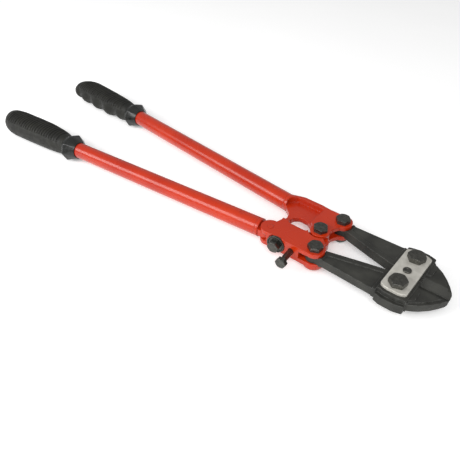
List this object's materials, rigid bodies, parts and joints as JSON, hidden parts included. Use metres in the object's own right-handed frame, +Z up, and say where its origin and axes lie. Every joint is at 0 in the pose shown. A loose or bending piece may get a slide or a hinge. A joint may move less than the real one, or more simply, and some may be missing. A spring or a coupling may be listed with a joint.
{
  "type": "bolt_cutters",
  "caption": "Bolt cutters of the 750 mm class with red tube handles, black ribbed grips, dark forged blades and a side-screw adjuster, closed and lying flat.",
  "frame": {"origin": "bottom centre of the closed tool lying flat, on the plane of the lower link nuts and grip collars", "axes": "+X along the tool from the grips to the jaws, +Y from the adjuster handle to the plain handle, +Z up from the surface it lies on"},
  "size_m": [0.7786, 0.2072, 0.0402],
  "materials": {
    "red_paint": "gloss orange-red enamel",
    "forged_blade": "dark grey forged steel, lightly oiled",
    "black_hardware": "black oxide",
    "bright_plate": "satin",
    "grip_rubber": "ribbed black rubber"
  },
  "bodies": {
    "link": {"link_plate_top": "bright_plate", "link_plate_bottom": "bright_plate", "link_bolt_upper": "black_hardware", "link_bolt_lower": "black_hardware", "link_nut_upper": "black_hardware", "link_nut_lower": "black_hardware", "center_screw": "black_hardware", "center_spacer": "black_hardware"},
    "blade_upper_body": {"blade_upper": "forged_blade"},
    "blade_lower_body": {"blade_lower": "forged_blade"},
    "handle_upper": {"head_upper": "red_paint", "tail_bolt_upper": "black_hardware", "tail_nut_upper": "black_hardware", "center_bolt": "black_hardware", "center_nut": "black_hardware", "tube_upper": "red_paint", "tube_rivet_upper": "red_paint", "grip_upper": "grip_rubber"},
    "handle_head_lower": {"head_lower": "red_paint", "tail_bolt_lower": "black_hardware", "hinge_pin": "red_paint"},
    "handle_lower": {"adjuster_tongue": "red_paint", "tube_lower": "red_paint", "tube_rivet_lower": "red_paint", "grip_lower": "grip_rubber"},
    "push_screw_body": {"push_screw": "black_hardware"},
    "lock_screw_body": {"lock_screw": "black_hardware", "lock_washer": "black_hardware"}
  },
  "joints": [
    {"name": "upper_handle_swing", "type": "hinge", "parent": "blade_upper_body", "child": "handle_upper", "pos_m": [0.23474, 0.03294, 0.0201], "axis": [0, 0, -1], "range_deg": [0, 54]},
    {"name": "upper_blade_swing", "type": "hinge", "parent": "link", "child": "blade_upper_body", "pos_m": [0.33674, 0.02474, 0.0201], "axis": [0, 0, 1], "range_deg": [0, 9.9]},
    {"name": "lower_blade_swing", "type": "hinge", "parent": "link", "child": "blade_lower_body", "pos_m": [0.33674, -0.02566, 0.0201], "axis": [0, 0, -1], "range_deg": [0, 9.9]},
    {"name": "lower_handle_swing", "type": "hinge", "parent": "blade_lower_body", "child": "handle_head_lower", "pos_m": [0.23474, -0.03386, 0.0201], "axis": [0, 0, 1], "range_deg": [0, 54]},
    {"name": "adjuster_hinge", "type": "hinge", "parent": "handle_head_lower", "child": "handle_lower", "pos_m": [0.16874, -0.03496, 0.0201], "axis": [0, 0, 1], "range_deg": [-1.2, 1.2]},
    {"name": "push_screw_travel", "type": "slide", "parent": "handle_head_lower", "child": "push_screw_body", "axis": [-0.1026, 0.9947, 0], "range_m": [-0.00085, 0.00085]},
    {"name": "lock_screw_travel", "type": "slide", "parent": "handle_head_lower", "child": "lock_screw_body", "axis": [0.1026, -0.9947, 0], "range_m": [0, 0.0015]}
  ],
  "couplings": [
    {"joint": "upper_blade_swing", "follows": "upper_handle_swing", "ratio": 0.1822},
    {"joint": "lower_blade_swing", "follows": "upper_handle_swing", "ratio": 0.1822},
    {"joint": "lower_handle_swing", "follows": "upper_handle_swing", "ratio": 1},
    {"joint": "push_screw_travel", "follows": "adjuster_hinge", "m_per_rad": 0.0393}
  ]
}
